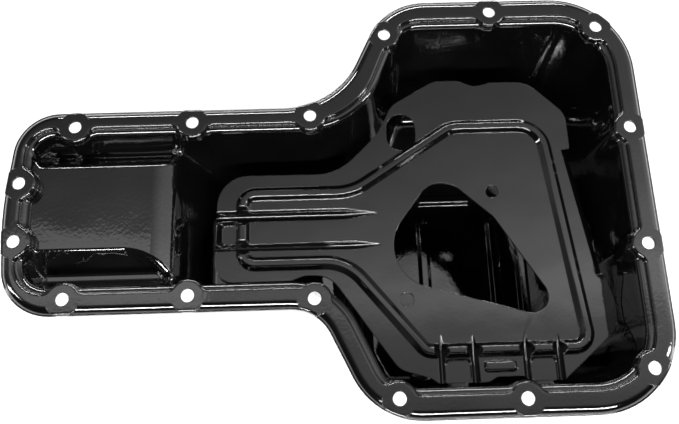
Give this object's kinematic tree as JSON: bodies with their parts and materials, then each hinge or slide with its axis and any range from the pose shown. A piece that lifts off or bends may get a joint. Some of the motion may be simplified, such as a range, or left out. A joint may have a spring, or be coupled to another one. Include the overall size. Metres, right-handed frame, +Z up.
{
  "type": "engine oil pan",
  "caption": "Deep drawn sheet steel engine oil pan with a deep sump, a shallow end, a bolting flange, a welded baffle plate and a drain plug.",
  "frame": {"origin": "below the middle of the flange, in the plane that the flat sump floor stands on", "axes": "+X along the engine towards the deep sump, +Y across the engine, +Z up out of the open side"},
  "size_m": [0.3876, 0.2606, 0.1294],
  "materials": {
    "pan_coat": "gloss",
    "baffle_coat": "gloss",
    "boss_coat": "gloss",
    "plug_steel": "zinc plated",
    "gasket_metal": "satin"
  },
  "bodies": {
    "root": {"oil_pan": "pan_coat", "baffle_plate": "baffle_coat", "drain_boss": "boss_coat", "drain_plug": "plug_steel", "drain_gasket": "gasket_metal"}
  },
  "joints": []
}
